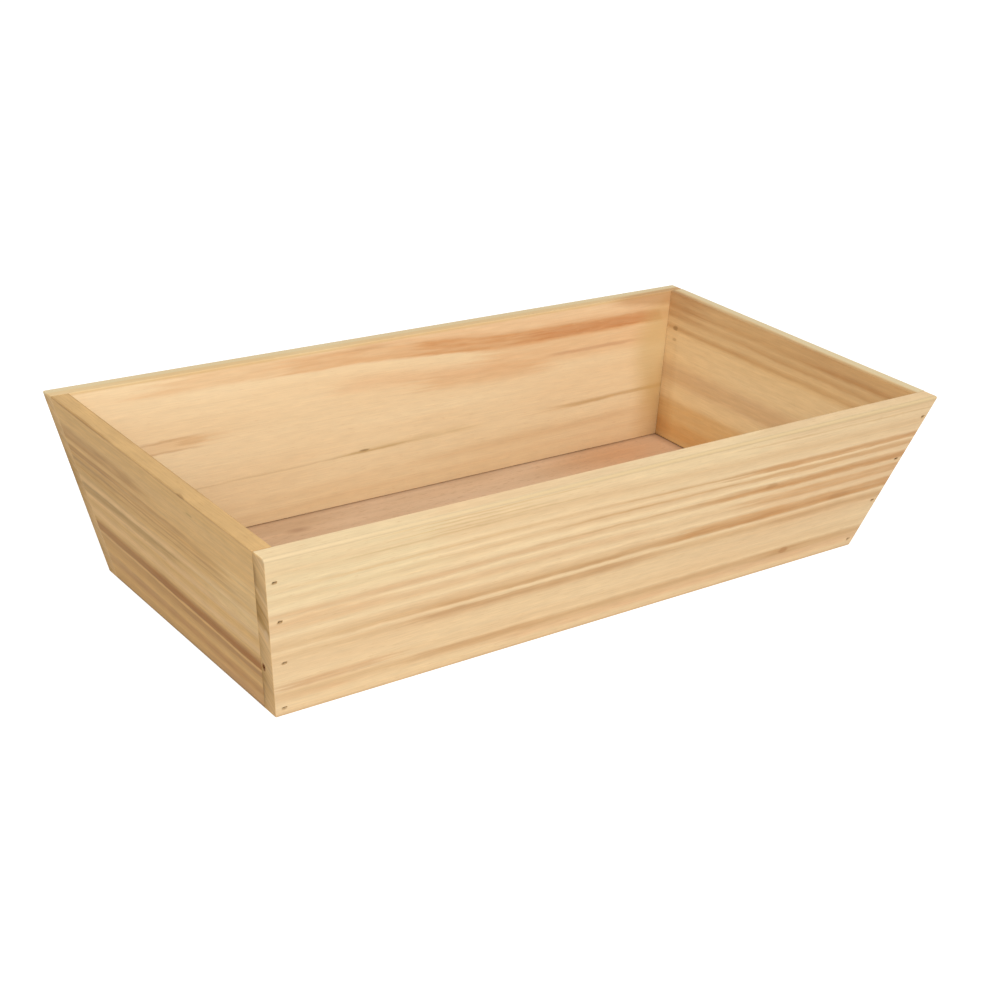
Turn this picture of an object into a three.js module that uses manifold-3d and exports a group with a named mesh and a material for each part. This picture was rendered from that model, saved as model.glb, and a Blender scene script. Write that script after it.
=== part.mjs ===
// Open wooden tray with sloping sides: two long boards lap over two end boards at the corners,
// brads hold each corner, and a plywood floor sits in a groove around the inside.
// Millimetres, +Z up, origin at the centre of the base, length along X, front at -Y.
import * as THREE from "three";
import { mergeVertices } from "three/addons/utils/BufferGeometryUtils.js";
import Module from "manifold-3d";

const wasm = await Module();
wasm.setup();

// Overall sizes over the outside of the rim.
const RIM_LENGTH = 400;
const RIM_WIDTH = 205;
const HEIGHT = 90;

// Lean of the boards from upright.
const END_FLARE = THREE.MathUtils.degToRad(13.7);
const SIDE_FLARE = THREE.MathUtils.degToRad(14.6);

// Boards: thickness square to the face, rounding of the long boards' outer rim edge,
// rounding of all other edges, glue line at each corner.
const BOARD = 9;
const RIM_EASE = 1.5;
const EASE = 0.5;
const GLUE_LINE = 0.25;

// Floor: thickness, height of the groove above the base, groove depth, play below, above and at the edges.
const FLOOR = 3;
const GROOVE_LIFT = 6.5;
const GROOVE_DEPTH = BOARD / 3;
const FLOOR_REST = 0.2;
const FLOOR_SLACK = 0.6;
const FLOOR_EDGE_PLAY = 0.5;

// Brads: flat wire with a wider head, its chisel point, how far the head is sunk, play in the hole.
const BRAD_LENGTH = 25;
const BRAD_WIDTH = 1.25;
const BRAD_THICKNESS = 1;
const BRAD_HEAD_WIDTH = 2;
const BRAD_HEAD_DEPTH = 0.9;
const BRAD_POINT = 1.8;
const BRAD_POINT_WIDTH = 0.3;
const BRAD_SUNK = 0.8;
const BRAD_PLAY = 0.15;

// The brads of a row, lowest first: height as a share of the tray's height,
// and distance in from the end board's outer face as a share of that board's level thickness.
const LEFT_ROW = [
  [0.05, 0.5],
  [0.345, 0.66],
  [0.61, 0.57],
  [0.855, 0.44],
];
const RIGHT_ROW = [
  [0.054, 0.5],
  [0.32, 0.4],
  [0.6, 0.5],
  [0.875, 0.35],
];

// Derived sizes: the boards' level thickness, and the outer half sizes of the base.
const END_LEVEL = BOARD / Math.cos(END_FLARE);
const SIDE_LEVEL = BOARD / Math.cos(SIDE_FLARE);
const BASE_HALF_LENGTH = RIM_LENGTH / 2 - HEIGHT * Math.tan(END_FLARE);
const BASE_HALF_WIDTH = RIM_WIDTH / 2 - HEIGHT * Math.tan(SIDE_FLARE);
const GROOVE_WIDTH = FLOOR_REST + FLOOR + FLOOR_SLACK;
const GROOVE_MIDDLE = GROOVE_LIFT + GROOVE_WIDTH / 2;
const CUTTER = 2 * RIM_LENGTH;

const UP = new THREE.Vector3(0, 0, 1);

// Outward normal of an outer face that leans away from the given level direction.
function faceNormal(outward, flare) {
  return outward.clone().multiplyScalar(Math.cos(flare)).addScaledVector(UP, -Math.sin(flare));
}

function toSolid(geometry) {
  const soup = geometry.index ? geometry.toNonIndexed() : geometry;
  const bare = new THREE.BufferGeometry().setAttribute("position", soup.getAttribute("position"));
  const merged = mergeVertices(bare, 1e-4);
  return new wasm.Manifold(
    new wasm.Mesh({
      numProp: 3,
      vertProperties: merged.attributes.position.array,
      triVerts: new Uint32Array(merged.index.array),
    }),
  );
}

function toGeometry(solid) {
  const mesh = solid.getMesh();
  const geometry = new THREE.BufferGeometry();
  geometry.setAttribute("position", new THREE.BufferAttribute(mesh.vertProperties, 3));
  geometry.setIndex(new THREE.BufferAttribute(mesh.triVerts, 1));
  const faceted = geometry.toNonIndexed();
  faceted.computeVertexNormals();
  return faceted;
}

// A closed outline whose corners are each rounded off by a distance along its two sides.
function roundedOutline(corners, eases) {
  const outline = new THREE.Shape();
  corners.forEach((corner, i) => {
    const before = corners[(i + corners.length - 1) % corners.length];
    const after = corners[(i + 1) % corners.length];
    const ease = eases[i];
    const enter = corner.clone().add(before.clone().sub(corner).setLength(ease));
    const leave = corner.clone().add(after.clone().sub(corner).setLength(ease));
    if (i === 0) outline.moveTo(enter.x, enter.y);
    else outline.lineTo(enter.x, enter.y);
    outline.quadraticCurveTo(corner.x, corner.y, leave.x, leave.y);
  });
  outline.closePath();
  return outline;
}

// A board that leans outward by flare, with level top and bottom edges, longer than it needs to be.
function leaningBoard(outward, foot, flare, level, rimEase) {
  const run = HEIGHT * Math.tan(flare);
  const section = roundedOutline(
    [
      new THREE.Vector2(foot - level, 0),
      new THREE.Vector2(foot, 0),
      new THREE.Vector2(foot + run, HEIGHT),
      new THREE.Vector2(foot + run - level, HEIGHT),
    ],
    [EASE, EASE, rimEase, EASE],
  );
  const stock = 1.5 * RIM_LENGTH;
  const options = { depth: stock, bevelEnabled: false, curveSegments: 4 };
  const geometry = new THREE.ExtrudeGeometry(section, options);
  geometry.translate(0, 0, -stock / 2);
  const along = outward.clone().cross(UP);
  geometry.applyMatrix4(new THREE.Matrix4().makeBasis(outward, UP, along));
  return toSolid(geometry);
}

// Saws off everything on the side of a plane that its normal points to.
function sawOff(solid, point, normal) {
  const cutter = new THREE.BoxGeometry(CUTTER, CUTTER, CUTTER);
  cutter.translate(0, 0, CUTTER / 2);
  cutter.applyQuaternion(new THREE.Quaternion().setFromUnitVectors(UP, normal));
  cutter.translate(point.x, point.y, point.z);
  return solid.subtract(toSolid(cutter));
}

// Takes the sharp arris off the line where two faces meet, at a point on that line.
function easeArris(solid, point, normalA, normalB) {
  const normal = normalA.clone().add(normalB).normalize();
  const inset = point.clone().addScaledVector(normal, -EASE * Math.SQRT1_2);
  return sawOff(solid, inset, normal);
}

// A long board reaches the outer faces of the end boards and is cut flush with them.
function longBoard(side) {
  const outward = new THREE.Vector3(0, side, 0);
  const face = faceNormal(outward, SIDE_FLARE);
  let solid = leaningBoard(outward, BASE_HALF_WIDTH, SIDE_FLARE, SIDE_LEVEL, RIM_EASE);
  for (const end of [-1, 1]) {
    const endFace = faceNormal(new THREE.Vector3(end, 0, 0), END_FLARE);
    const foot = new THREE.Vector3(end * BASE_HALF_LENGTH, side * BASE_HALF_WIDTH, 0);
    const rim = new THREE.Vector3((end * RIM_LENGTH) / 2, (side * RIM_WIDTH) / 2, HEIGHT);
    solid = sawOff(solid, foot, endFace);
    solid = easeArris(solid, foot, endFace, face);
    solid = easeArris(solid, foot, endFace, UP.clone().negate());
    solid = easeArris(solid, rim, endFace, UP);
  }
  return solid;
}

// An end board stops at the inner faces of the long boards, less the glue line: a compound angle cut.
function endBoard(end) {
  const outward = new THREE.Vector3(end, 0, 0);
  let solid = leaningBoard(outward, BASE_HALF_LENGTH, END_FLARE, END_LEVEL, EASE);
  const stop = BASE_HALF_WIDTH - SIDE_LEVEL - GLUE_LINE / Math.cos(SIDE_FLARE);
  for (const side of [-1, 1]) {
    const joint = faceNormal(new THREE.Vector3(0, side, 0), SIDE_FLARE);
    solid = sawOff(solid, new THREE.Vector3(0, side * stop, 0), joint);
  }
  return solid;
}

// A level rectangular plate from the floor of the tray, grown into the walls by the given depth.
function levelPlate(depth, bottom, thickness) {
  const halfLength = BASE_HALF_LENGTH + GROOVE_MIDDLE * Math.tan(END_FLARE) - END_LEVEL + depth;
  const halfWidth = BASE_HALF_WIDTH + GROOVE_MIDDLE * Math.tan(SIDE_FLARE) - SIDE_LEVEL + depth;
  const plate = new THREE.BoxGeometry(2 * halfLength, 2 * halfWidth, thickness);
  plate.translate(0, 0, bottom + thickness / 2);
  return plate;
}

// A brad seen flat on: the head starts at depth start, the shank runs to a chisel point.
// With grow above zero the same outline is the hole that the brad sits in.
function bradOutline(start, grow) {
  const head = BRAD_HEAD_WIDTH / 2 + grow;
  const shank = BRAD_WIDTH / 2 + grow;
  const point = BRAD_POINT_WIDTH / 2 + grow;
  const tip = BRAD_SUNK + BRAD_LENGTH + grow;
  const neck = BRAD_SUNK + BRAD_HEAD_DEPTH + grow;
  const shoulder = neck - (BRAD_HEAD_WIDTH - BRAD_WIDTH) / 2;
  return new THREE.Shape([
    new THREE.Vector2(-head, start),
    new THREE.Vector2(head, start),
    new THREE.Vector2(head, shoulder),
    new THREE.Vector2(shank, neck),
    new THREE.Vector2(shank, tip - BRAD_POINT),
    new THREE.Vector2(point, tip),
    new THREE.Vector2(-point, tip),
    new THREE.Vector2(-shank, tip - BRAD_POINT),
    new THREE.Vector2(-shank, neck),
    new THREE.Vector2(-head, shoulder),
  ]);
}

// Where a brad enters: on the long board's outer face, over the end board's edge.
// It is driven along the end board's plane, with the wide side of the head along the grain.
function bradPlace(side, end, [height, inset]) {
  const z = height * HEIGHT;
  const x = end * (BASE_HALF_LENGTH + z * Math.tan(END_FLARE) - inset * END_LEVEL);
  const y = side * (BASE_HALF_WIDTH + z * Math.tan(SIDE_FLARE));
  const rise = Math.sin(SIDE_FLARE);
  const drive = new THREE.Vector3(end * rise * Math.tan(END_FLARE), -side * Math.cos(SIDE_FLARE), rise);
  drive.normalize();
  const grain = new THREE.Vector3(1, 0, 0);
  grain.addScaledVector(drive, -grain.dot(drive)).normalize();
  const place = new THREE.Matrix4().makeBasis(grain, drive, grain.clone().cross(drive));
  return place.setPosition(x, y, z);
}

function bradGeometry(place, start, grow) {
  const thickness = BRAD_THICKNESS + 2 * grow;
  const options = { depth: thickness, bevelEnabled: false };
  const geometry = new THREE.ExtrudeGeometry(bradOutline(start, grow), options);
  geometry.translate(0, 0, -thickness / 2);
  return geometry.applyMatrix4(place);
}

const boardWood = new THREE.MeshStandardMaterial({ color: 0xdcbc8c, roughness: 0.75, metalness: 0 });
const endWood = new THREE.MeshStandardMaterial({ color: 0xc79c6a, roughness: 0.75, metalness: 0 });
const plywood = new THREE.MeshStandardMaterial({ color: 0xb98a72, roughness: 0.8, metalness: 0 });
const steel = new THREE.MeshStandardMaterial({ color: 0x6f6a64, roughness: 0.45, metalness: 1 });

const tray = new THREE.Group();
tray.name = "wooden_tray";

function addPart(name, geometry, material) {
  const mesh = new THREE.Mesh(geometry, material);
  mesh.name = name;
  tray.add(mesh);
}

const groove = toSolid(levelPlate(GROOVE_DEPTH, GROOVE_LIFT, GROOVE_WIDTH));
const boards = {
  front_board: longBoard(-1).subtract(groove),
  back_board: longBoard(1).subtract(groove),
  left_end_board: endBoard(-1).subtract(groove),
  right_end_board: endBoard(1).subtract(groove),
};

const corners = [
  { long: "front", end: "left", side: -1, toward: -1, row: LEFT_ROW },
  { long: "front", end: "right", side: -1, toward: 1, row: RIGHT_ROW },
  { long: "back", end: "left", side: 1, toward: -1, row: LEFT_ROW },
  { long: "back", end: "right", side: 1, toward: 1, row: RIGHT_ROW },
];
for (const { long, end, side, toward, row } of corners) {
  row.forEach((spot, i) => {
    const place = bradPlace(side, toward, spot);
    const hole = toSolid(bradGeometry(place, -EASE, BRAD_PLAY));
    boards[`${long}_board`] = boards[`${long}_board`].subtract(hole);
    boards[`${end}_end_board`] = boards[`${end}_end_board`].subtract(hole);
    addPart(`brad_${long}_${end}_${i + 1}`, bradGeometry(place, BRAD_SUNK, 0), steel);
  });
}

for (const [name, solid] of Object.entries(boards)) {
  addPart(name, toGeometry(solid), name.includes("end") ? endWood : boardWood);
}
addPart("floor_panel", levelPlate(GROOVE_DEPTH - FLOOR_EDGE_PLAY, GROOVE_LIFT + FLOOR_REST, FLOOR), plywood);

export default tray;
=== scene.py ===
import math
from collections import namedtuple

import bmesh
import bpy
from mathutils import Euler, Matrix, Vector


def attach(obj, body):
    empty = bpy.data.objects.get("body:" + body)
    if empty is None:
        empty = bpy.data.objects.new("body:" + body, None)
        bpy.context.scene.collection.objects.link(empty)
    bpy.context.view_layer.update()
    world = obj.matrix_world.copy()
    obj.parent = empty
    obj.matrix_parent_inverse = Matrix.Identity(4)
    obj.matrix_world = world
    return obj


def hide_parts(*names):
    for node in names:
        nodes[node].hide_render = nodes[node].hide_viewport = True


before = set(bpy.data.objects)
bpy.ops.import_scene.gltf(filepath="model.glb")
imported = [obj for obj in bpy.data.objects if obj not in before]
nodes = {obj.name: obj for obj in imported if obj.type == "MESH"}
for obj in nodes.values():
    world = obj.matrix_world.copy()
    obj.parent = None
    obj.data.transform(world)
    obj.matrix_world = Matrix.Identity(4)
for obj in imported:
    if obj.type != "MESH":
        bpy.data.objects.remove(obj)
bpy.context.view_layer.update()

MM = 0.001
# The scale that turns metres into millimetres.
TO_MM = (1000.0, 1000.0, 1000.0)

# Sizes of the tray in millimetres, the same as in the solids.
RIM_LENGTH = 400.0
RIM_WIDTH = 205.0
HEIGHT = 90.0
BOARD = 9.0
END_FLARE = math.radians(13.7)
SIDE_FLARE = math.radians(14.6)
RIM_EASE = 1.5
EASE = 0.5
GROOVE_LIFT = 6.5
GROOVE_WIDTH = 3.8
GROOVE_DEPTH = 3.0
BRAD_PLAY = 0.15
# Finer here than in the solids: softer corners of the rim and tight joints.
END_RIM_EASE = 1.0
JOINT_EASE = 0.12
JOINT_GAP = 0.1
# How near to a face an edge lies to count as on it.
TOUCH = 0.1
# How near corners of a copied mesh lie to be the same one.
WELD = 0.001
# How far the cutter of a brad's hole stands out of the face.
HOLE_OVERRUN = 2.0
# Edges that turn more than the first are arrises, and faces that turn less than the second shade as one.
ARRIS_TURN = math.radians(20)
SMOOTH_TURN = math.radians(35)
# How well a face's normal fits a direction to count as facing it.
FACING = 0.9

END_LEVEL = BOARD / math.cos(END_FLARE)
SIDE_LEVEL = BOARD / math.cos(SIDE_FLARE)
END_RUN = HEIGHT * math.tan(END_FLARE)
SIDE_RUN = HEIGHT * math.tan(SIDE_FLARE)
BASE_HALF_LENGTH = RIM_LENGTH / 2 - END_RUN
BASE_HALF_WIDTH = RIM_WIDTH / 2 - SIDE_RUN
GROOVE_MIDDLE = GROOVE_LIFT + GROOVE_WIDTH / 2


def choose(kind, test):
    """Selects, in edit mode, the faces, edges or corners of the piece in hand that pass a test."""
    bpy.ops.mesh.select_mode(type={"faces": "FACE", "edges": "EDGE", "verts": "VERT"}[kind])
    bpy.ops.mesh.select_all(action="DESELECT")
    form = bmesh.from_edit_mesh(bpy.context.object.data)
    for item in getattr(form, kind):
        if test(item):
            item.select_set(True)
    bmesh.update_edit_mesh(bpy.context.object.data)


def take(piece):
    """Takes one object in hand, with nothing else selected."""
    bpy.ops.object.select_all(action="DESELECT")
    piece.select_set(True)
    bpy.context.view_layer.objects.active = piece


def apply_modifier(piece, kind, **settings):
    """Adds a modifier with its settings and applies it."""
    take(piece)
    bpy.ops.object.modifier_add(type=kind)
    modifier = piece.modifiers[-1]
    for key, value in settings.items():
        setattr(modifier, key, value)
    bpy.ops.object.modifier_apply(modifier=modifier.name)


def block(name, low, high):
    """A plain block between two corners in millimetres, left in edit mode, to be shaped."""
    bpy.ops.object.select_all(action="DESELECT")
    bpy.ops.mesh.primitive_cube_add(size=1.0)
    piece = bpy.context.object
    piece.name = name
    piece.data.name = name
    bpy.ops.object.mode_set(mode="EDIT")
    bpy.ops.mesh.select_all(action="SELECT")
    bpy.ops.transform.resize(value=(high - low) * MM, center_override=(0, 0, 0))
    bpy.ops.transform.translate(value=(low + high) / 2 * MM)
    return piece


def flare(shift, stretch):
    """Pushes the top face outwards and draws it longer, so that the block leans as the walls do."""
    choose("faces", lambda face: face.normal.z > FACING)
    bpy.ops.transform.resize(value=stretch, center_override=(0, 0, 0))
    bpy.ops.transform.translate(value=shift * MM)


def ease_arrises(piece, rounding):
    """Rounds each arris by its own amount: rounding gives an edge's amount in millimetres."""
    groups = {}
    form = bmesh.from_edit_mesh(piece.data)
    for edge in form.edges:
        if edge.calc_face_angle(0.0) > ARRIS_TURN:
            groups.setdefault(rounding(edge), set()).add(edge.index)
    for amount, members in groups.items():
        choose("edges", lambda edge: edge.index in members)
        bpy.ops.transform.edge_bevelweight(value=amount / RIM_EASE)
    bpy.ops.object.mode_set(mode="OBJECT")
    apply_modifier(piece, "BEVEL", width=RIM_EASE * MM, segments=4, limit_method="WEIGHT")


# A long board is cut into this many strips along its length, and an end board into half as many,
# so that no face is a long sliver.
STRIPS = 40


def long_board(name, side):
    """A long board laps over both end boards. Its ends show end grain, flush with their outer faces."""
    foot = sorted((side * BASE_HALF_WIDTH, side * (BASE_HALF_WIDTH - SIDE_LEVEL)))
    low = Vector((-BASE_HALF_LENGTH, foot[0], 0))
    high = Vector((BASE_HALF_LENGTH, foot[1], HEIGHT))
    piece = block(name, low, high)
    flare(Vector((0, side * SIDE_RUN, 0)), (RIM_LENGTH / 2 / BASE_HALF_LENGTH, 1, 1))
    choose("edges", lambda edge: abs(edge.verts[0].co.x - edge.verts[1].co.x) > BASE_HALF_LENGTH * MM)
    bpy.ops.mesh.subdivide(number_cuts=STRIPS - 1)

    def rounding(edge):
        middle = (edge.verts[0].co + edge.verts[1].co) / 2 / MM
        depth = BASE_HALF_WIDTH + middle.z * math.tan(SIDE_FLARE) - side * middle.y
        short_of_end = [
            BASE_HALF_LENGTH + corner.co.z / MM * math.tan(END_FLARE) - abs(corner.co.x) / MM
            for corner in edge.verts
        ]
        at_end = max(short_of_end) < TOUCH
        at_rim = middle.z > HEIGHT - TOUCH
        if depth < TOUCH and at_rim and not at_end:
            return RIM_EASE
        if at_end and depth > SIDE_LEVEL - TOUCH:
            return JOINT_EASE
        if at_end and at_rim:
            return END_RIM_EASE
        return EASE

    ease_arrises(piece, rounding)
    return piece


def end_board(name, end):
    """An end board stands between the long boards and stops a hair short of each."""
    foot = sorted((end * BASE_HALF_LENGTH, end * (BASE_HALF_LENGTH - END_LEVEL)))
    stop = BASE_HALF_WIDTH - SIDE_LEVEL - JOINT_GAP / math.cos(SIDE_FLARE)
    piece = block(name, Vector((foot[0], -stop, 0)), Vector((foot[1], stop, HEIGHT)))
    flare(Vector((end * END_RUN, 0, 0)), (1, (stop + SIDE_RUN) / stop, 1))
    choose("edges", lambda edge: abs(edge.verts[0].co.y - edge.verts[1].co.y) > stop * MM)
    bpy.ops.mesh.subdivide(number_cuts=STRIPS // 2 - 1)

    def rounding(edge):
        short_of_joint = [
            stop + corner.co.z / MM * math.tan(SIDE_FLARE) - abs(corner.co.y) / MM
            for corner in edge.verts
        ]
        return JOINT_EASE if max(short_of_joint) < TOUCH else EASE

    ease_arrises(piece, rounding)
    return piece


def brad_hole(name):
    """The hole around one brad: a copy of it grown by its play, with the head drawn out of the face."""
    side = -1.0 if "front" in name else 1.0
    end = -1.0 if "left" in name else 1.0
    rise = math.sin(SIDE_FLARE)
    out = Vector((-end * rise * math.tan(END_FLARE), side * math.cos(SIDE_FLARE), -rise)).normalized()
    take(nodes[name])
    bpy.ops.object.duplicate()
    hole = bpy.context.object
    bpy.ops.object.mode_set(mode="EDIT")
    bpy.ops.mesh.select_all(action="SELECT")
    bpy.ops.mesh.remove_doubles(threshold=WELD * MM)
    bpy.ops.mesh.select_all(action="SELECT")
    bpy.ops.transform.shrink_fatten(value=BRAD_PLAY * MM, use_even_offset=True)
    choose("faces", lambda face: face.normal.dot(out) > FACING)
    bpy.ops.transform.translate(value=out * HOLE_OVERRUN * MM)
    bpy.ops.object.mode_set(mode="OBJECT")
    return hole


def floor_groove():
    """The groove for the floor, as one level block that is cut out of all four walls."""
    half_length = BASE_HALF_LENGTH + GROOVE_MIDDLE * math.tan(END_FLARE) - END_LEVEL + GROOVE_DEPTH
    half_width = BASE_HALF_WIDTH + GROOVE_MIDDLE * math.tan(SIDE_FLARE) - SIDE_LEVEL + GROOVE_DEPTH
    low = Vector((-half_length, -half_width, GROOVE_LIFT))
    high = Vector((half_length, half_width, GROOVE_LIFT + GROOVE_WIDTH))
    cutter = block("groove_cutter", low, high)
    bpy.ops.object.mode_set(mode="OBJECT")
    return cutter


# The loose knot's hole: its middle, its half sizes, its turn and how ragged it is, in millimetres.
CHIP_PLACE = Vector((-184.2, -79.0, 26.5))
CHIP_SIZE = Vector((2.2, 0.75, 1.9))
CHIP_TURN = math.radians(-28)
CHIP_RAGGED = 0.18


def loose_knot():
    """The small ragged hole that a loose knot left in the end of the front board."""
    bpy.ops.object.select_all(action="DESELECT")
    bpy.ops.mesh.primitive_ico_sphere_add(subdivisions=3, radius=MM)
    cutter = bpy.context.object
    bpy.ops.object.mode_set(mode="EDIT")
    bpy.ops.mesh.select_all(action="SELECT")
    bpy.ops.transform.vertex_random(offset=CHIP_RAGGED * MM, uniform=1.0, normal=0.0, seed=4)
    bpy.ops.transform.resize(value=CHIP_SIZE, center_override=(0, 0, 0))
    bpy.ops.transform.rotate(value=CHIP_TURN, orient_axis="X", center_override=(0, 0, 0))
    bpy.ops.transform.translate(value=CHIP_PLACE * MM)
    bpy.ops.object.mode_set(mode="OBJECT")
    return cutter


boards = {
    "front_board": long_board("planed_front_board", -1.0),
    "back_board": long_board("planed_back_board", 1.0),
    "left_end_board": end_board("planed_left_end_board", -1.0),
    "right_end_board": end_board("planed_right_end_board", 1.0),
}

cutters = bpy.data.collections.new("cutters")
bpy.context.scene.collection.children.link(cutters)
tools = [floor_groove(), loose_knot()]
tools += [brad_hole(name) for name in sorted(nodes) if name.startswith("brad_")]
for tool in tools:
    cutters.objects.link(tool)
for piece in boards.values():
    apply_modifier(piece, "BOOLEAN", operand_type="COLLECTION", collection=cutters, solver="EXACT")
for tool in tools:
    bpy.data.objects.remove(tool)
bpy.data.collections.remove(cutters)

for replaced, piece in boards.items():
    take(piece)
    bpy.ops.object.shade_smooth_by_angle(angle=SMOOTH_TURN)
    apply_modifier(piece, "WEIGHTED_NORMAL", keep_sharp=True)
    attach(piece, "root")
    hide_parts(replaced)


def linear(code):
    """The linear colour of an sRGB hex code."""
    shares = [int(code[i:i + 2], 16) / 255 for i in (1, 3, 5)]
    return [s / 12.92 if s <= 0.04045 else ((s + 0.055) / 1.055) ** 2.4 for s in shares] + [1.0]


def node(tree, kind, inputs=None, stops=(), **settings):
    """Adds a shader node with its settings and links, and gives a colour ramp its stops."""
    made = tree.nodes.new("ShaderNode" + kind)
    for key, value in settings.items():
        setattr(made, key, value)
    for key, value in (inputs or {}).items():
        if isinstance(value, bpy.types.NodeSocket):
            tree.links.new(value, made.inputs[key])
        else:
            made.inputs[key].default_value = value
    if stops:
        # A new ramp has two stops.
        ramp = made.color_ramp.elements
        for _ in stops[2:]:
            ramp.new(1.0)
        for element, (place, colour) in zip(ramp, stops):
            element.position = place
            element.color = colour
    return made


def bare_material(name):
    """A new material, with its node tree empty."""
    material = bpy.data.materials.new(name)
    material.use_nodes = True
    material.node_tree.nodes.clear()
    return material, material.node_tree


def pattern_layers(tree, vector, table):
    """Cloudy patterns by name, from a table of one patch's sizes in millimetres and its fine detail."""
    layers = {}
    for label, (sizes, detail) in table.items():
        shares = tuple(1.0 / size for size in sizes)
        fitted = node(tree, "VectorMath", {0: vector, 1: shares}, operation="MULTIPLY").outputs[0]
        cloud = node(tree, "TexNoise", {"Vector": fitted, "Scale": 1.0, "Detail": detail})
        layers[label] = cloud.outputs["Fac"]
    return layers


# Streak: a stretch of the growth lines, from start to stop along the board and from low to high up its
# face, with how softly it begins and ends up the face. Spot: a mark with its half sizes. All are in
# millimetres. A spot's tear is how far the fibres fray its edge, as a share of its half size.
Streak = namedtuple("Streak", "tone strength start stop low high soft_low soft_high")
Spot = namedtuple("Spot", "tone strength centre reach tear", defaults=(0.9,))
# Bend: the growth lines step down by before at the start and by after at the stop. They do so fully
# beyond the height high, and not at all at the height low.
Bend = namedtuple("Bend", "start stop before after low high")
# Board: what the patterns of one board read. Grain is its own space, with along, depth and height its
# three parts. Ring is the height that a point's growth line has, and layers are the cloudy patterns.
Board = namedtuple("Board", "grain along depth height ring layers")

# How far a streak fades to either side of its ends, and how far those ends stray, in millimetres.
STREAK_END = 16.0
STREAK_STRAY = 60.0
# The greatest height that a ring list may give, and the shade that the rings swing up and down from.
RING_REACH = 110.0
MEAN_SHADE = 0.4
# Where four tones lie on a ramp, from the palest to the darkest.
TONE_STEPS = (0.0, 0.4, 0.75, 1.0)
# How far the growth lines wander up and down, in millimetres, slowly and quickly along the board.
WANDER = {"drift": 2.0, "waves": 1.6, "ripple": 1.0}
# On the cut ends the rings slant: how far they rise for each millimetre of depth.
RING_SLANT = 0.8
# The end grain's four tones, and what its shade gains at no depth and for each millimetre of depth.
END_GRAIN = ("#d6b07a", "#c59e66", "#a57c3a", "#866022")
FACE_SHADE = -0.15
DEPTH_SHADE = 0.045
# A spot is full within the first share of its half sizes and gone beyond the second. The fibres that
# fray it make the distance from its middle count for more.
SPOT_FULL = 1.0
SPOT_GONE = 1.6

# Sizes of one patch of each layer in millimetres, along the grain, through the board and up the face, and
# its detail. Straight layers follow the board, bent ones its growth lines, and cuts show on the cut ends.
# Fine growth lines and fibres are drawn a little coarser than real ones, so that they show.
STRAIGHT_LAYERS = {
    "drift": ((230.0, 60.0, 38.0), 1.0),
    "waves": ((42.0, 14.0, 6.0), 2.0),
    "ripple": ((9.0, 6.0, 3.0), 2.0),
    "mottle": ((12.0, 8.0, 2.4), 3.0),
    "fibre": ((16.0, 0.8, 0.6), 2.0),
    "pores": ((6.0, 0.7, 0.5), 1.0),
}
BENT_LAYERS = {
    "fade": ((90.0, 300.0, 6.0), 2.0),
    "lines": ((170.0, 60.0, 1.8), 3.0),
    "zones": ((150.0, 80.0, 20.0), 1.0),
    "ends": ((60.0, 60.0, 1.6), 1.0),
    "breaks": ((28.0, 30.0, 2.6), 2.0),
}
CUT_LAYERS = {"cuts": ((60.0, 30.0, 2.6), 2.0)}


def board_space(turn, corner):
    """Settings that turn object metres into a board's own millimetres, with the given corner at zero."""
    matrix = Euler(turn, "XYZ").to_matrix()
    return {"Rotation": turn, "Location": matrix @ Vector(corner) * -1.0, "Scale": TO_MM}


def read_board(tree, coords, place, lean, fan, tilt, bend):
    """Lays out a board's own space, X along the grain, Y through the thickness and Z up the face, and its
    growth lines, which lean, fan out, tilt through the board, wander and bend."""
    grain = node(tree, "Mapping", {"Vector": coords.outputs["Object"], **place}).outputs["Vector"]
    along, depth, height = node(tree, "SeparateXYZ", {0: grain}).outputs
    layers = pattern_layers(tree, grain, STRAIGHT_LAYERS)
    slope = node(tree, "Math", {0: height, 1: fan, 2: lean}, operation="MULTIPLY_ADD").outputs[0]
    risen = node(tree, "Math", {0: along, 1: slope, 2: height}, operation="MULTIPLY_ADD").outputs[0]
    leant = node(tree, "Math", {0: depth, 1: tilt, 2: risen}, operation="MULTIPLY_ADD").outputs[0]
    ring = node(tree, "Math", {0: leant, 1: sum(WANDER.values()) / 2}, operation="SUBTRACT").outputs[0]
    for label, amount in WANDER.items():
        wander = {0: layers[label], 1: amount, 2: ring}
        ring = node(tree, "Math", wander, operation="MULTIPLY_ADD").outputs[0]
    if bend:
        step = node(tree, "MapRange", {
            "Value": along, "From Min": bend.start, "From Max": bend.stop,
            "To Min": bend.before, "To Max": bend.after,
        }, interpolation_type="SMOOTHSTEP").outputs["Result"]
        share = node(tree, "MapRange", {
            "Value": height, "From Min": bend.low, "From Max": bend.high,
        }).outputs[0]
        ring = node(tree, "Math", {0: step, 1: share, 2: ring}, operation="MULTIPLY_ADD").outputs[0]
    bent = node(tree, "CombineXYZ", {0: along, 1: depth, 2: ring}).outputs[0]
    layers.update(pattern_layers(tree, bent, BENT_LAYERS))
    return Board(grain, along, depth, height, ring, layers)


def ring_shade(tree, height, rings):
    """How dark the wood is at a height, from a list of heights and shades."""
    share = node(tree, "Math", {0: height, 1: RING_REACH}, operation="DIVIDE").outputs[0]
    greys = [(level / RING_REACH, (shade, shade, shade, 1.0)) for level, shade in rings]
    return node(tree, "ValToRGB", {"Fac": share}, greys).outputs["Color"]


def palette(tones):
    """The stops of a ramp from the palest of four tones to the darkest."""
    return [(step, linear(tone)) for step, tone in zip(TONE_STEPS, tones)]


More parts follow.
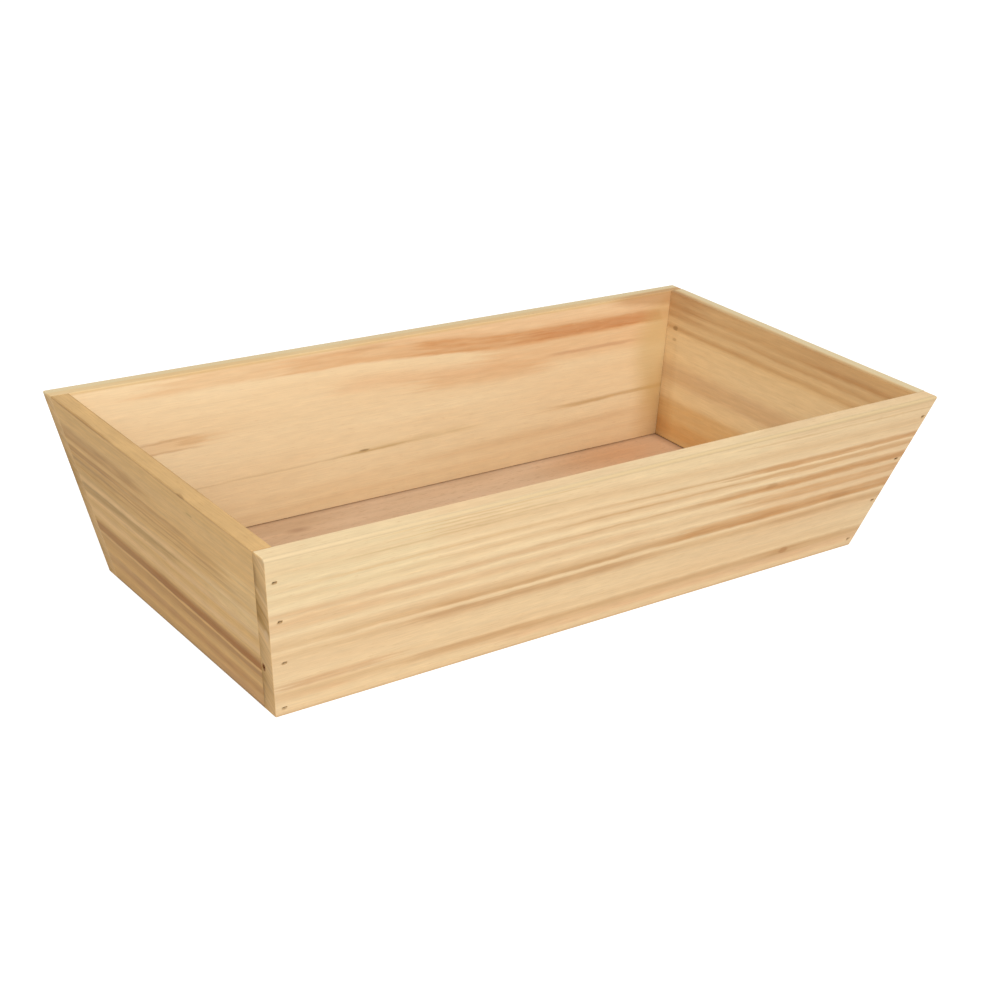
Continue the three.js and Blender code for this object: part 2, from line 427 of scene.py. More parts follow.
def grown_wood(tree, board, tones, rings, run, blush):
    """The colour that the growth rings give, with its slow changes along the board and its warmer zones."""
    shade = ring_shade(tree, board.ring, rings)
    patch = node(tree, "MapRange", {
        "Value": board.layers["fade"], "From Min": 0.3, "From Max": 0.7, "To Min": -0.25, "To Max": 0.25,
    }).outputs[0]
    (near, near_base, near_swing), (far, far_base, far_swing) = run
    base = node(tree, "MapRange", {
        "Value": board.along, "From Min": near, "From Max": far, "To Min": near_base, "To Max": far_base,
    }).outputs[0]
    swing = node(tree, "MapRange", {
        "Value": board.along, "From Min": near, "From Max": far, "To Min": near_swing, "To Max": far_swing,
    }).outputs[0]
    swing = node(tree, "Math", {0: swing, 1: patch}, operation="ADD").outputs[0]
    apart = node(tree, "Math", {0: shade, 1: MEAN_SHADE}, operation="SUBTRACT").outputs[0]
    shown = node(tree, "Math", {0: apart, 1: swing, 2: base}, operation="MULTIPLY_ADD").outputs[0]
    colour = node(tree, "ValToRGB", {"Fac": shown}, palette(tones)).outputs["Color"]
    tone, strength = blush
    zone = node(tree, "MapRange", {
        "Value": board.layers["zones"], "From Min": 0.45, "From Max": 0.7, "To Max": strength,
    }).outputs[0]
    return node(tree, "Mix", {0: zone, 6: colour, 7: linear(tone)}, data_type="RGBA").outputs[2]


def add_streaks(tree, board, colour, streaks, gaps):
    """Lays streaks over the wood. They die away at ragged ends, and gaps is how broken they are."""
    strayed = {0: board.layers["ends"], 1: STREAK_STRAY, 2: board.along}
    ragged = node(tree, "Math", strayed, operation="MULTIPLY_ADD").outputs[0]
    ragged = node(tree, "Math", {0: ragged, 1: STREAK_STRAY / 2}, operation="SUBTRACT").outputs[0]
    broken = node(tree, "MapRange", {
        "Value": board.layers["breaks"], "From Min": 0.3, "From Max": 0.62,
        "To Min": 1.0 - gaps, "To Max": 1.1,
    }).outputs[0]
    for streak in streaks:
        cover = node(tree, "Math", {0: broken, 1: streak.strength}, operation="MULTIPLY").outputs[0]
        for value, bare, full in (
            (ragged, streak.start - STREAK_END, streak.start + STREAK_END),
            (ragged, streak.stop + STREAK_END, streak.stop - STREAK_END),
            (board.ring, streak.low - streak.soft_low, streak.low + streak.soft_low),
            (board.ring, streak.high + streak.soft_high, streak.high - streak.soft_high),
        ):
            part = node(tree, "MapRange", {"Value": value, "From Min": bare, "From Max": full},
                        interpolation_type="SMOOTHSTEP").outputs["Result"]
            cover = node(tree, "Math", {0: part, 1: cover}, operation="MULTIPLY").outputs[0]
        tone = linear(streak.tone)
        colour = node(tree, "Mix", {0: cover, 6: colour, 7: tone}, data_type="RGBA").outputs[2]
    return colour


def add_fibres(tree, board, colour, dips, pore_tone):
    """Shades the wood by its fine lines, fibres and mottle, each by its own dip, and adds the pores."""
    for label, dip in zip(("lines", "fibre", "mottle"), dips):
        shade = node(tree, "MapRange", {
            "Value": board.layers[label], "From Min": 0.36, "From Max": 0.64,
            "To Min": 1.0 - dip, "To Max": 1.0 + dip,
        }).outputs[0]
        colour = node(tree, "VectorMath", {0: colour, "Scale": shade}, operation="SCALE").outputs[0]
    fleck = node(tree, "MapRange", {
        "Value": board.layers["pores"], "From Min": 0.64, "From Max": 0.74, "To Min": 0.0, "To Max": 0.35,
    }).outputs[0]
    return node(tree, "Mix", {0: fleck, 6: colour, 7: linear(pore_tone)}, data_type="RGBA").outputs[2]


def add_end_grain(tree, board, colour, normal, end_rings):
    """Puts end grain on the faces cut across the board: slanting rings, darker with depth."""
    middle = node(tree, "Math", {0: board.depth, 1: BOARD / 2}, operation="SUBTRACT").outputs[0]
    slant = {0: middle, 1: -RING_SLANT, 2: board.ring}
    slanted = node(tree, "Math", slant, operation="MULTIPLY_ADD").outputs[0]
    shade = ring_shade(tree, slanted, end_rings)
    sinking = {0: board.depth, 1: DEPTH_SHADE, 2: FACE_SHADE}
    deeper = node(tree, "Math", sinking, operation="MULTIPLY_ADD").outputs[0]
    shade = node(tree, "Math", {0: shade, 1: deeper}, operation="ADD").outputs[0]
    cut = node(tree, "ValToRGB", {"Fac": shade}, palette(END_GRAIN)).outputs["Color"]
    across = node(tree, "CombineXYZ", {0: board.along, 1: board.depth, 2: slanted}).outputs[0]
    speck = node(tree, "MapRange", {
        "Value": pattern_layers(tree, across, CUT_LAYERS)["cuts"],
        "From Min": 0.36, "From Max": 0.64, "To Min": 0.86, "To Max": 1.12,
    }).outputs[0]
    cut = node(tree, "VectorMath", {0: cut, "Scale": speck}, operation="SCALE").outputs[0]
    facing = node(tree, "VectorMath", {0: normal, 1: (1, 0, 0)}, operation="DOT_PRODUCT").outputs["Value"]
    square = node(tree, "Math", {0: facing}, operation="ABSOLUTE").outputs[0]
    mask = node(tree, "MapRange", {"Value": square, "From Min": 0.45, "From Max": 0.8}).outputs[0]
    return node(tree, "Mix", {0: mask, 6: colour, 7: cut}, data_type="RGBA").outputs[2]


def add_spots(tree, board, colour, spots):
    """Lays small marks over the wood, with their edges frayed by the fibres."""
    for spot in spots:
        away = node(tree, "VectorMath", {0: board.grain, 1: spot.centre}, operation="SUBTRACT").outputs[0]
        fitted = node(tree, "VectorMath", {0: away, 1: spot.reach}, operation="DIVIDE").outputs[0]
        far = node(tree, "VectorMath", {0: fitted}, operation="LENGTH").outputs["Value"]
        frayed = {0: board.layers["fibre"], 1: spot.tear, 2: far}
        torn = node(tree, "Math", frayed, operation="MULTIPLY_ADD").outputs[0]
        cover = node(tree, "MapRange", {
            "Value": torn, "From Min": SPOT_GONE, "From Max": SPOT_FULL, "To Max": spot.strength,
        }, interpolation_type="SMOOTHSTEP").outputs["Result"]
        tone = linear(spot.tone)
        colour = node(tree, "Mix", {0: cover, 6: colour, 7: tone}, data_type="RGBA").outputs[2]
    return colour


def planed_wood(name, place, tones, rings, lean, fan, tilt, run, figure, blush, streaks, spots,
                end_rings=None, bend=None):
    """Planed paulownia with no finish: pale and matt, brown growth lines that are sharp on one side,
    fine long fibres, and darker end grain.

    Run gives, at two places along the board, how dark the wood is and how strongly its rings show.
    Figure gives the dips of fine lines, fibres and mottle, and how broken the streaks are. Blush is the
    tone and strength of the warmer zones."""
    material, tree = bare_material(name)
    coords = node(tree, "TexCoord")
    board = read_board(tree, coords, place, lean, fan, tilt, bend)
    colour = grown_wood(tree, board, tones, rings, run, blush)
    colour = add_streaks(tree, board, colour, streaks, gaps=figure[3])
    colour = add_fibres(tree, board, colour, dips=figure[:3], pore_tone=tones[2])
    if end_rings:
        colour = add_end_grain(tree, board, colour, coords.outputs["Normal"], end_rings)
    colour = add_spots(tree, board, colour, spots)

    lines, fibre = board.layers["lines"], board.layers["fibre"]
    rough = node(tree, "MapRange", {
        "Value": lines, "From Min": 0.3, "From Max": 0.7, "To Min": 0.64, "To Max": 0.8,
    }).outputs[0]
    relief = node(tree, "Math", {0: lines, 1: fibre}, operation="ADD").outputs[0]
    bump = node(tree, "Bump", {"Height": relief, "Strength": 0.5, "Distance": 0.1 * MM}).outputs[0]
    surface = node(tree, "BsdfPrincipled", {
        "Base Color": colour, "Roughness": rough, "Normal": bump, "IOR": 1.45,
    }).outputs[0]
    node(tree, "OutputMaterial", {"Surface": surface})
    return material


# The wood is stained around each brad head. The reach is in millimetres.
STAIN_TONE = "#a5804e"
STAIN_STRENGTH = 0.6
STAIN_REACH = (1.6, 2.5, 1.2)
# Corners of a brad that lie this near to its outermost one belong to the top of its head, in millimetres.
HEAD_RIM = 0.3


def brad_stains(row, place):
    """Dark spots in the wood around the brad heads of one long board."""
    outward = -1.0 if row == "brad_front" else 1.0
    matrix = Euler(place["Rotation"], "XYZ").to_matrix()
    stains = []
    for name in sorted(nodes):
        if name.startswith(row):
            points = [matrix @ v.co / MM + place["Location"] for v in nodes[name].data.vertices]
            face = max(outward * point.y for point in points)
            head = [point for point in points if outward * point.y > face - HEAD_RIM]
            centre = sum(head, Vector()) / len(head)
            stains.append(Spot(STAIN_TONE, STAIN_STRENGTH, tuple(centre), STAIN_REACH))
    return stains


RIGHT_ANGLE = math.pi / 2
FRONT_PLACE = board_space((-SIDE_FLARE, 0, 0), (0, -BASE_HALF_WIDTH, 0))
BACK_PLACE = board_space((SIDE_FLARE, 0, 0), (0, BASE_HALF_WIDTH - SIDE_LEVEL, 0))

# Each ring list gives heights up the board's face in millimetres, and how dark the wood is there.
front_wood = planed_wood(
    "paulownia_front", FRONT_PLACE,
    tones=("#f1d6a9", "#e1c092", "#cba26f", "#b68756"),
    rings=[
        (0.0, 0.45), (5.0, 0.15), (8.0, 0.4), (11.5, 0.66), (13.4, 0.56), (15.0, 0.25),
        (18.0, 0.38), (22.0, 0.22), (31.0, 0.36), (34.6, 0.64), (36.4, 0.58), (38.5, 0.1),
        (39.8, 0.6), (41.2, 0.72), (45.0, 0.48), (47.8, 0.08), (50.6, 0.4), (53.0, 0.38),
        (57.0, 0.08), (58.6, 0.44), (60.2, 0.52), (62.6, 0.2), (64.4, 0.0), (66.2, 0.25),
        (68.2, 0.52), (69.4, 0.47), (71.4, 0.03), (74.6, 0.52), (77.0, 0.12), (82.6, 0.5),
        (90.0, 0.16), (92.4, 0.34),
    ],
    lean=0.002, fan=0.0, tilt=0.15,
    run=((-190.0, 0.32, 0.7), (120.0, 0.37, 0.9)),
    figure=(0.028, 0.035, 0.025, 0.45), blush=("#e2b98a", 0.3),
    streaks=[
        Streak("#e9d7a9", 0.4, -300, -112, 63.0, 99.0, 5.0, 1.0),
        Streak("#efd7a9", 0.45, -8, 84, 84.5, 99.0, 4.0, 1.0),
        Streak("#e6c596", 0.5, -300, -150, 32.0, 46.0, 2.0, 2.0),
        Streak("#deb280", 0.5, -300, -136, 53.6, 58.0, 1.0, 0.8),
        Streak("#d9a878", 0.2, 92, 300, 28.0, 78.0, 3.0, 3.0),
        Streak("#c58e54", 0.65, 70, 260, 72.0, 75.6, 0.5, 1.0),
        Streak("#c9955b", 0.5, 78, 260, 67.2, 70.2, 0.4, 0.8),
        Streak("#c58e54", 0.6, 56, 260, 58.4, 63.3, 0.6, 1.2),
        Streak("#b98146", 0.4, 34, 200, 59.2, 61.6, 0.5, 1.0),
        Streak("#c79157", 0.5, 80, 260, 50.0, 55.2, 0.7, 0.8),
        Streak("#c58e54", 0.55, 40, 260, 39.5, 46.0, 0.5, 1.0),
        Streak("#bb8145", 0.4, 10, 170, 40.2, 43.4, 0.5, 1.4),
        Streak("#c1935f", 0.3, 100, 260, 32.4, 35.8, 0.9, 0.6),
        Streak("#b88654", 0.5, -110, 26, 32.4, 36.8, 2.4, 0.5),
        Streak("#b27f49", 0.45, -118, 14, 39.6, 42.0, 0.4, 1.6),
        Streak("#bd8b58", 0.45, -108, -38, 9.0, 13.4, 2.2, 0.5),
        Streak("#c1915e", 0.3, -38, 180, 8.4, 12.8, 2.0, 0.9),
        Streak("#b5834d", 0.45, 106, 132, 8.8, 13.0, 1.6, 0.5),
        Streak("#c79363", 0.7, -176, -146, 14.8, 18.8, 1.0, 1.2),
        Streak("#c79363", 0.6, -144, -124, 14.8, 18.8, 1.0, 1.2),
        Streak("#d9ac7d", 0.4, -190, 10, 51.0, 54.6, 1.0, 1.4),
        Streak("#d8aa7b", 0.4, -190, -20, 58.4, 61.0, 0.8, 1.0),
        Streak("#d6a677", 0.45, -172, -150, 8.0, 11.4, 1.0, 1.2),
        Streak("#d8a678", 0.4, -60, 260, 4.4, 8.6, 1.2, 1.2),
        Streak("#c19862", 0.4, 74, 260, 93.9, 94.7, 0.4, 0.4),
        Streak("#c19862", 0.4, 62, 260, 90.1, 91.1, 0.5, 0.5),
        Streak("#dcb988", 0.55, -178, -40, 74.0, 75.5, 0.4, 0.5),
        Streak("#c2955f", 0.55, -18, 74, 74.0, 75.0, 0.4, 0.5),
        Streak("#c2955f", 0.55, -34, 86, 68.4, 69.4, 0.4, 0.5),
        Streak("#c69a66", 0.5, -50, 60, 60.6, 61.6, 0.4, 0.6),
    ] + [
        Streak("#d0af7a", 0.55, start, stop, level, level + 0.7, 0.3, 0.3)
        for level, start, stop in (
            (90.0, -134, -40), (88.2, -126, -64), (86.3, -140, -52), (84.1, -120, -36), (82.3, -150, -80),
        )
    ],
    spots=[
        Spot("#a8743f", 0.5, (122.5, 0.0, 11.4), (3.5, 3.0, 2.2)),
        Spot("#b68652", 0.5, (93.6, 0.0, 60.0), (4.5, 3.0, 1.8)),
        Spot("#b58450", 0.45, (150.0, 0.0, 40.6), (9.0, 3.0, 2.2)),
        Spot("#dac697", 0.42, (0.0, 5.0, 94.4), (2000.0, 6.5, 1.6), 0.2),
        # Painted shade along the rim's rounded outer arris, dimming the light it catches, stronger towards
        # the right end.
        Spot("#d9c096", 0.8, (0.0, 0.0, 93.0), (2000.0, 1.6, 1.6), 0.2),
        Spot("#cfb384", 0.65, (200.0, 0.0, 93.0), (300.0, 1.4, 1.4), 0.2),
        Spot("#7e4a08", 0.95, (-184.2, 6.8, 25.6), (4.0, 1.2, 2.1), 0.5),
        # Painted shade down the end's joint with the left end board, under the rim and near the foot.
        Spot("#7d5a2c", 0.45, (-198.0, 9.6, 77.0), (6.0, 3.0, 11.0)),
        Spot("#6b4a22", 0.35, (-182.0, 9.6, 9.0), (8.0, 2.6, 12.0)),
        Spot("#cfae82", 0.6, (-190.0, 2.5, 48.0), (8.0, 1.5, 3.0), 0.3),
        # Painted shade along the bottom arris, where the board meets the floor.
        Spot("#c4a06e", 0.4, (0.0, 0.0, 0.0), (2000.0, 1.3, 1.1), 0.2),
    ] + brad_stains("brad_front", FRONT_PLACE),
    end_rings=[
        (0.0, 0.35), (5.0, 0.25), (9.0, 0.4), (13.0, 0.42), (16.0, 0.5), (19.0, 0.42), (21.0, 0.45),
        (25.0, 0.3), (30.0, 0.2), (36.0, 0.34), (42.0, 0.25), (48.6, 0.0), (51.4, 0.5),
        (55.0, 0.72), (58.0, 0.54), (61.0, 0.72), (64.0, 0.36), (67.0, 0.52), (70.0, 0.06),
        (73.0, 0.46), (80.0, 0.36), (86.0, 0.26), (93.0, 0.0),
    ],
    bend=Bend(-60.0, 150.0, 0.0, 2.8, 30.0, 75.0))
back_wood = planed_wood(
    "paulownia_back", BACK_PLACE,
    tones=("#f4dfb6", "#eacda1", "#dbb585", "#cc9d6a"),
    rings=[
        (0.0, 0.45), (8.0, 0.35), (14.0, 0.2), (17.0, 0.3), (19.0, 0.12), (24.6, 0.2), (26.0, 0.1),
        (31.0, 0.1), (43.0, 0.1), (50.0, 0.12), (60.0, 0.25), (72.0, 0.3), (80.0, 0.25),
        (91.0, 0.2), (97.0, 0.05),
    ],
    lean=-0.0223, fan=0.00028, tilt=0.15,
    run=((-195.0, 0.4, 0.9), (195.0, 0.42, 1.0)),
    figure=(0.012, 0.025, 0.02, 0.2), blush=("#e6c08f", 0.25),
    streaks=[
        Streak("#eed5ab", 0.4, -170, -72, 18.0, 46.0, 4.0, 4.0),
        Streak("#cf965f", 0.85, 4, 300, 79.6, 88.4, 0.9, 2.2),
        Streak("#d9a875", 0.75, -80, 8, 79.8, 88.4, 0.9, 2.5),
        Streak("#e0b584", 0.55, -150, -74, 81.0, 99.0, 1.5, 1.0),
        Streak("#c48450", 0.6, 90, 230, 80.6, 86.4, 0.8, 2.0),
        Streak("#e0b282", 0.6, -40, 300, 88.0, 99.0, 1.0, 1.0),
        Streak("#dfaf7c", 0.55, 50, 300, 66.0, 80.6, 4.0, 0.6),
        Streak("#dcab78", 0.5, 8, 90, 60.5, 69.5, 3.0, 3.0),
        Streak("#e0b385", 0.4, -40, 60, 66.0, 73.0, 3.0, 3.0),
        Streak("#c3926a", 0.6, 102, 152, 69.2, 71.4, 0.8, 0.8),
        Streak("#c9aa78", 0.45, -150, -40, 36.3, 36.9, 0.5, 0.6),
        Streak("#b18c54", 0.65, -38, -8, 36.4, 37.2, 0.4, 0.6),
        Streak("#cdb07a", 0.4, -42, 40, 36.0, 38.2, 0.7, 1.4),
        Streak("#c29a60", 0.6, 94, 200, 35.8, 38.0, 0.8, 1.2),
        Streak("#d2a875", 0.22, 5, 150, 23.2, 27.0, 1.6, 1.8),
        Streak("#b88c5e", 0.62, -172, -134, 60.3, 61.2, 0.5, 0.6),
        Streak("#b88c5e", 0.62, -166, -132, 55.7, 56.6, 0.5, 0.6),
        Streak("#dfb582", 0.45, -164, -118, 56.4, 61.0, 1.2, 1.2),
        Streak("#bf8a58", 0.55, -32, -14, 86.6, 88.6, 0.8, 1.0),
    ],
    spots=[
        Spot("#c99c68", 0.28, (-131.0, 0.0, 59.4), (9.0, 6.0, 2.2)),
        Spot("#80602f", 0.6, (-31.6, 0.0, 37.0), (3.6, 4.0, 0.6)),
        # Painted shade in the inner corner with the right end board, deepening towards the floor.
        Spot("#cdb076", 0.6, (197.0, 0.0, 50.0), (30.0, 7.0, 34.0), 0.15),
        Spot("#c99c56", 0.42, (194.0, 0.0, 14.0), (30.0, 7.0, 32.0), 0.15),
        Spot("#d9b27e", 0.5, (188.5, 0.0, 82.0), (6.0, 6.0, 8.0), 0.2),
        # Painted shade along the rim's inner arris, dimming the light it catches.
        Spot("#d6b47c", 0.65, (0.0, 1.6, 93.4), (2000.0, 3.0, 1.6), 0.2),
        Spot("#b88550", 0.6, (193.0, 0.0, 93.0), (38.0, 3.0, 6.0), 0.2),
        Spot("#dac599", 0.85, (0.0, 7.4, 94.9), (2000.0, 3.6, 1.5), 0.3),
    ] + brad_stains("brad_back", BACK_PLACE),
    end_rings=[(0.0, 0.5), (30.0, 0.3), (55.0, 0.55), (75.0, 0.3), (93.0, 0.2)],
    bend=Bend(-45.0, 92.0, -3.0, 3.0, 45.0, 75.0))
left_wood = planed_wood(
    "paulownia_left", board_space((0, END_FLARE, -RIGHT_ANGLE), (-BASE_HALF_LENGTH, 0, 0)),
    tones=("#deb884", "#d1a86b", "#b2864e", "#946436"),
    rings=[
        (0.0, 0.6), (3.0, 0.58), (6.4, 0.46), (10.2, 0.66), (12.5, 0.55), (16.0, 0.46),
        (19.0, 0.64), (23.0, 0.74), (24.1, 0.44), (24.8, 0.46), (25.5, 0.9), (28.7, 0.85),
        (33.0, 0.4), (36.2, 0.08), (40.6, 0.4), (41.6, 0.48), (44.5, 0.05), (46.6, 0.25),
        (50.6, 0.45), (51.6, 0.25), (52.6, 0.1), (55.0, 0.3), (59.2, 0.5), (60.2, 0.4),
        (63.4, 0.55), (64.6, 0.35), (67.2, 0.6), (70.2, 0.35), (74.5, 0.35), (80.0, 0.3),
        (89.8, 0.4), (91.4, 0.34),
    ],
    lean=-0.001, fan=0.0, tilt=-0.15,
    run=((-100.0, 0.38, 0.95), (100.0, 0.4, 0.95)),
    figure=(0.07, 0.045, 0.045, 0.4), blush=("#cfa56b", 0.4),
    streaks=[
        Streak("#dfbb82", 0.64, -140, -58, 57.0, 71.0, 2.0, 2.0),
        Streak("#dfc08b", 0.52, -140, -40, 45.0, 54.0, 2.0, 2.0),
        Streak("#b08a52", 0.45, 40, 130, 58.4, 65.0, 1.5, 1.5),
        Streak("#b08c56", 0.4, 20, 130, 54.4, 57.6, 1.0, 1.0),
        Streak("#935c22", 0.65, -140, 20, 25.3, 30.8, 0.4, 3.0),
        Streak("#9c692e", 0.55, 0, 88, 25.5, 30.4, 0.5, 2.2),
        Streak("#9a6a3c", 0.42, -140, -6, 20.2, 23.6, 1.0, 0.5),
        Streak("#b07e56", 0.42, -140, -30, 0.0, 7.4, 1.0, 1.6),
        Streak("#9b7a48", 0.6, -12, 110, 46.6, 51.0, 1.8, 0.4),
        Streak("#9b6c38", 0.6, 36, 120, 67.0, 70.0, 0.5, 1.0),
        Streak("#a87a44", 0.5, -30, 50, 68.2, 70.2, 0.4, 0.6),
        Streak("#a87740", 0.45, -60, 110, 64.6, 65.7, 0.3, 0.5),
        Streak("#a77a48", 0.45, -50, 110, 62.2, 63.4, 0.3, 0.5),
        Streak("#a87740", 0.4, -70, 90, 59.0, 60.0, 0.3, 0.4),
        Streak("#ad7a48", 0.5, -120, 60, 9.0, 14.0, 1.5, 1.0),
        Streak("#a97a42", 0.6, 10, 120, 73.0, 79.6, 1.0, 2.0),
    ],
    spots=[
        Spot("#8a7440", 0.4, (-38.5, 0.0, 85.2), (3.4, 2.0, 0.6)),
        Spot("#7d5a2e", 0.6, (-33.8, 0.0, 92.3), (4.0, 1.2, 0.7)),
        # Painted shade along the bottom arris, where the board meets the floor.
        Spot("#80602f", 0.6, (0.0, 0.0, 0.0), (2000.0, 1.6, 1.3), 0.3),
        # Painted shade along the rim's outer arris.
        Spot("#a57a45", 0.4, (-20.0, 0.0, 92.2), (85.0, 0.9, 0.8)),
        Spot("#96682f", 0.55, (64.0, 0.0, 92.4), (34.0, 1.2, 1.0)),
        # Painted shade along the rim's inner arris.
        Spot("#a87a42", 0.5, (30.0, -9.0, 90.4), (110.0, 1.0, 1.0)),
    ],
    bend=Bend(-70.0, 90.0, 1.2, -0.9, 48.0, 30.0))
right_wood = planed_wood(
    "paulownia_right", board_space((0, -END_FLARE, -RIGHT_ANGLE), (BASE_HALF_LENGTH - END_LEVEL, 0, 0)),
    tones=("#dfc393", "#d4b27f", "#c29b68", "#b28552"),
    rings=[
        (0.0, 0.6), (9.0, 0.7), (15.0, 0.8), (19.5, 0.8), (24.0, 0.6), (33.0, 0.5), (36.0, 0.25),
        (39.0, 0.15), (42.8, 0.3), (44.5, 0.66), (50.0, 0.58), (54.5, 0.25), (58.0, 0.15),
        (65.0, 0.2), (69.5, 0.15), (71.6, 0.4), (73.2, 0.85), (74.6, 0.7), (76.0, 0.45),
        (78.3, 0.5), (79.6, 0.8), (81.0, 0.7), (83.0, 0.55), (85.4, 0.9), (87.0, 0.8), (88.5, 0.7),
        (91.8, 0.75), (92.7, 0.9), (93.1, 0.85), (93.8, 0.4), (94.5, 0.1), (100.0, 0.0),
    ],
    lean=0.0, fan=0.0, tilt=-0.15,
    run=((-100.0, 0.44, 1.0), (100.0, 0.39, 0.95)),
    figure=(0.022, 0.03, 0.03, 0.35), blush=("#d9b175", 0.3),
    streaks=[
        Streak("#cb9d5e", 0.6, -140, 140, -12.0, 33.0, 2.0, 2.0),
        Streak("#bf8748", 0.5, -140, 140, 13.0, 21.5, 3.0, 2.5),
        Streak("#d6b07a", 0.4, 86, 140, 30.0, 76.0, 8.0, 4.0),
        Streak("#a87440", 0.4, 66, 140, 79.0, 94.0, 3.0, 0.6),
        Streak("#c08a46", 0.5, 80, 140, 0.0, 30.0, 2.0, 4.0),
        # Painted shade: a dark line along the foot of the inner face, just above the floor.
        Streak("#8f6338", 0.28, -140, 140, 9.6, 11.0, 0.6, 0.6),
        Streak("#c8a680", 0.35, -140, 140, 42.0, 54.0, 2.0, 2.0),
    ],
    spots=[
        Spot("#7a5a2c", 0.55, (81.0, 0.0, 73.2), (2.2, 2.0, 1.5)),
        Spot("#8a6636", 0.35, (79.2, 0.0, 66.8), (1.8, 1.6, 1.1)),
        Spot("#dfcea6", 0.7, (-60.0, -7.0, 94.5), (155.0, 3.8, 1.6), 0.25),
    ])

woods = {
    "front_board": front_wood,
    "back_board": back_wood,
    "left_end_board": left_wood,
    "right_end_board": right_wood,
}
for replaced, piece in boards.items():
    piece.data.materials.clear()
    piece.data.materials.append(woods[replaced])

# How far from the middle the floor meets the end walls and the long walls, in millimetres.
END_SEAM = BASE_HALF_LENGTH - END_LEVEL + GROOVE_MIDDLE * math.tan(END_FLARE)
SIDE_SEAM = BASE_HALF_WIDTH - SIDE_LEVEL + GROOVE_MIDDLE * math.tan(SIDE_FLARE)

# Sizes of one patch of each layer in millimetres, along the panel, across it and through it, and its
# detail. Pores are drawn twice as wide as real ones, so that they show.
PANEL_LAYERS = {
    "clouds": ((95.0, 26.0, 30.0), 2.0),
    "ribbon": ((140.0, 5.0, 5.0), 2.0),
    "pores": ((5.0, 0.55, 0.55), 1.0),
}
# Marks on the panel: tone, strength, middle and half sizes in millimetres, and the share of the half
# sizes within which the mark is full. Beyond the share MARK_FADE it is gone.
PANEL_MARKS = (
    ("#c98f5f", 0.6, (132.0, 58.0, 9.0), (46.0, 19.0, 20.0), 0.2),
    ("#977052", 0.5, (-84.0, 58.0, 9.0), (7.0, 2.4, 20.0), 0.3),
)
MARK_FADE = 1.4
# Painted shade darkens and browns the panel along its edges, where it meets the walls: how far in, in
# millimetres, and how strongly.
WALL_SHADE_TONE = "#7a440c"
END_WALL_SHADE = (5.2, 0.42)
SIDE_WALL_SHADE = (2.6, 0.18)


def floor_plywood():
    """Lauan plywood, sanded and unfinished: matt and pinkish brown, with short dark pore lines along it."""
    material, tree = bare_material("lauan_plywood")
    coords = node(tree, "TexCoord")
    scaled = {"Vector": coords.outputs["Object"], "Scale": TO_MM}
    grain = node(tree, "Mapping", scaled).outputs[0]
    layers = pattern_layers(tree, grain, PANEL_LAYERS)
    cloud = node(tree, "MapRange", {
        "Value": layers["clouds"], "From Min": 0.35, "From Max": 0.68,
    }).outputs[0]
    pale, dark = linear("#d1b08e"), linear("#c5a27e")
    colour = node(tree, "Mix", {0: cloud, 6: pale, 7: dark}, data_type="RGBA").outputs[2]
    for tone, strength, centre, reach, core in PANEL_MARKS:
        away = node(tree, "VectorMath", {0: grain, 1: centre}, operation="SUBTRACT").outputs[0]
        fitted = node(tree, "VectorMath", {0: away, 1: reach}, operation="DIVIDE").outputs[0]
        far = node(tree, "VectorMath", {0: fitted}, operation="LENGTH").outputs["Value"]
        cover = node(tree, "MapRange", {
            "Value": far, "From Min": MARK_FADE, "From Max": core, "To Max": strength,
        }).outputs[0]
        colour = node(tree, "Mix", {0: cover, 6: colour, 7: linear(tone)}, data_type="RGBA").outputs[2]
    folded = node(tree, "VectorMath", {0: grain}, operation="ABSOLUTE").outputs[0]
    along, across, _ = node(tree, "SeparateXYZ", {0: folded}).outputs
    # Painted shade: the panel grows darker and browner towards each wall.
    for value, seam, (reach, strength) in ((along, END_SEAM, END_WALL_SHADE), (across, SIDE_SEAM, SIDE_WALL_SHADE)):
        wall_shade = node(tree, "MapRange", {
            "Value": value, "From Min": seam - reach, "From Max": seam, "To Max": strength,
        }).outputs[0]
        tone = linear(WALL_SHADE_TONE)
        colour = node(tree, "Mix", {0: wall_shade, 6: colour, 7: tone}, data_type="RGBA").outputs[2]
    stripe = node(tree, "MapRange", {
        "Value": layers["ribbon"], "From Min": 0.3, "From Max": 0.7, "To Min": 0.93, "To Max": 1.06,
    }).outputs[0]
    colour = node(tree, "VectorMath", {0: colour, "Scale": stripe}, operation="SCALE").outputs[0]
    pore = node(tree, "MapRange", {
        "Value": layers["pores"], "From Min": 0.6, "From Max": 0.72, "To Min": 0.0, "To Max": 0.4,
    }).outputs[0]
    colour = node(tree, "Mix", {0: pore, 6: colour, 7: linear("#a27a5a")}, data_type="RGBA").outputs[2]
    sunk = {"Height": layers["pores"], "Strength": 0.4, "Distance": 0.1 * MM}
    bump = node(tree, "Bump", sunk, invert=True).outputs[0]
    rough = node(tree, "MapRange", {"Value": layers["ribbon"], "To Min": 0.7, "To Max": 0.85}).outputs[0]
    surface = node(tree, "BsdfPrincipled", {
        "Base Color": colour, "Roughness": rough, "Normal": bump, "IOR": 1.45,
    }).outputs[0]
    node(tree, "OutputMaterial", {"Surface": surface})
    return material


